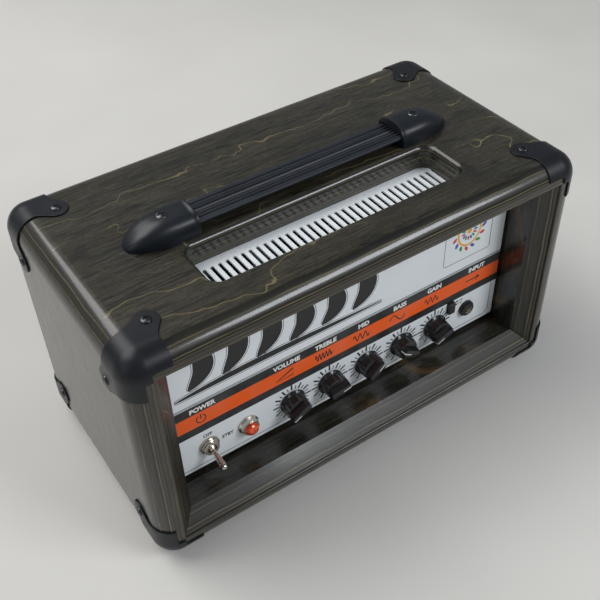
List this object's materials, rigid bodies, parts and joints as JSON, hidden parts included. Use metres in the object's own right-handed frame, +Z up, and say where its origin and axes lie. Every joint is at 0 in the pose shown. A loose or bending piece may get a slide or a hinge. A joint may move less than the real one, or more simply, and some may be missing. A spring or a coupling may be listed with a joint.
{
  "type": "amplifier head",
  "caption": "Amplifier head in a stained plywood shell with corner protectors, a strap handle, a vented top and a recessed white control panel.",
  "frame": {"origin": "centre of the bounding box at its bottom, where the feet stand", "axes": "+X to the right as seen from the front, +Y to the back, +Z up; the control panel faces -Y"},
  "size_m": [0.3698, 0.1986, 0.2184],
  "materials": {
    "stained_ply": "dark ebony stain with a satin varnish, pale ply lines on the rounded edges",
    "black_guard": "matte black coating",
    "black_screw": "blackened steel",
    "cap_plastic": "soft matte black",
    "strap_rubber": "ribbed black rubber",
    "foot_rubber": "matte black rubber",
    "white_steel": "white powder coat",
    "white_face": "gloss white enamel with printed bands",
    "small_steel": "plain zinc plated",
    "board": "green circuit board with dark parts",
    "valve_glass": "clear glass",
    "bare_aluminium": "extruded",
    "core_wrap": "dark wrapped ring core",
    "fan_plastic": "moulded black",
    "nickel": "satin nickel",
    "switch_body": "moulded black",
    "bezel_chrome": "polished",
    "jewel_orange": "faceted orange lens",
    "pot_metal": "pressed steel",
    "shaft_metal": "turned",
    "knob_black": "black with a white pointer line",
    "push_black": "black",
    "jack_black": "black with a metal sleeve",
    "socket_black": "moulded black"
  },
  "bodies": {
    "shell": {"panel_top": "stained_ply", "panel_bottom": "stained_ply", "panel_left": "stained_ply", "panel_right": "stained_ply", "liner_bottom": "stained_ply", "liner_left": "stained_ply", "liner_right": "stained_ply", "guard_top_front_left": "black_guard", "guard_top_front_right": "black_guard", "guard_top_back_left": "black_guard", "guard_top_back_right": "black_guard", "guard_bottom_front_left": "black_guard", "guard_bottom_front_right": "black_guard", "guard_bottom_back_left": "black_guard", "guard_bottom_back_right": "black_guard", "corner_screws": "black_screw", "handle_screws": "black_screw", "chassis_bolts": "black_screw", "handle_cap_left": "cap_plastic", "handle_cap_right": "cap_plastic", "strap_anchor": "strap_rubber", "feet": "foot_rubber", "chassis_tray": "white_steel", "chassis_cover": "white_steel", "faceplate": "white_face", "cover_screws": "small_steel", "pot_nuts": "small_steel", "preamp_board": "board", "power_board": "board", "preamp_valve": "valve_glass", "heat_sink": "bare_aluminium", "transformer": "core_wrap", "fan_frame": "fan_plastic", "toggle_nut": "nickel", "toggle_body": "switch_body", "push_body": "switch_body", "lamp_bezel": "bezel_chrome", "lamp_jewel": "jewel_orange", "pot_bodies": "pot_metal", "jack_body": "jack_black", "jack_nut": "jack_black", "rear_jacks": "jack_black", "mains_inlet": "socket_black", "speaker_sockets": "socket_black"},
    "toggle_lever": {"toggle_lever": "nickel"},
    "push_cap": {"push_cap": "push_black"},
    "strap_left": {"strap_left": "strap_rubber"},
    "strap_right": {"strap_right": "strap_rubber"},
    "strap_tail": {"strap_tail": "strap_rubber"},
    "fan_rotor": {"fan_rotor": "fan_plastic"},
    "knob_volume": {"knob_volume": "knob_black", "shaft_volume": "shaft_metal"},
    "knob_treble": {"knob_treble": "knob_black", "shaft_treble": "shaft_metal"},
    "knob_mid": {"knob_mid": "knob_black", "shaft_mid": "shaft_metal"},
    "knob_bass": {"knob_bass": "knob_black", "shaft_bass": "shaft_metal"},
    "knob_gain": {"knob_gain": "knob_black", "shaft_gain": "shaft_metal"}
  },
  "joints": [
    {"name": "power_toggle", "type": "hinge", "parent": "shell", "child": "toggle_lever", "pos_m": [-0.122, -0.066, 0.06], "axis": [-1, 0, 0], "range_deg": [0, 26]},
    {"name": "volume_turn", "type": "hinge", "parent": "shell", "child": "knob_volume", "pos_m": [-0.051, -0.065, 0.06], "axis": [0, 1, 0], "range_deg": [-30, 270]},
    {"name": "treble_turn", "type": "hinge", "parent": "shell", "child": "knob_treble", "pos_m": [-0.017, -0.065, 0.06], "axis": [0, 1, 0], "range_deg": [-230, 70]},
    {"name": "mid_turn", "type": "hinge", "parent": "shell", "child": "knob_mid", "pos_m": [0.0174, -0.065, 0.06], "axis": [0, 1, 0], "range_deg": [-196, 104]},
    {"name": "bass_turn", "type": "hinge", "parent": "shell", "child": "knob_bass", "pos_m": [0.0516, -0.065, 0.06], "axis": [0, 1, 0], "range_deg": [-92, 208]},
    {"name": "gain_turn", "type": "hinge", "parent": "shell", "child": "knob_gain", "pos_m": [0.0856, -0.065, 0.06], "axis": [0, 1, 0], "range_deg": [-38, 262]},
    {"name": "push_switch", "type": "slide", "parent": "shell", "child": "push_cap", "axis": [0, 1, 0], "range_m": [0, 0.002], "stiffness_N_per_m": 200},
    {"name": "strap_rise", "type": "hinge", "parent": "shell", "child": "strap_left", "pos_m": [-0.082, 0, 0.2097], "axis": [0, -1, 0], "range_deg": [0, 8]},
    {"name": "strap_bend", "type": "hinge", "parent": "strap_left", "child": "strap_right", "pos_m": [0, 0, 0.2097], "axis": [0, 1, 0], "range_deg": [0, 16]},
    {"name": "strap_level", "type": "hinge", "parent": "strap_right", "child": "strap_tail", "pos_m": [0.082, 0, 0.2097], "axis": [0, -1, 0], "range_deg": [0, 8]},
    {"name": "fan_spin", "type": "hinge", "parent": "shell", "child": "fan_rotor", "pos_m": [-0.095, 0.074, 0.1146], "axis": [0, 1, 0], "continuous": true}
  ],
  "couplings": [
    {"joint": "strap_bend", "follows": "strap_rise", "ratio": 2},
    {"joint": "strap_level", "follows": "strap_rise", "ratio": 1}
  ]
}
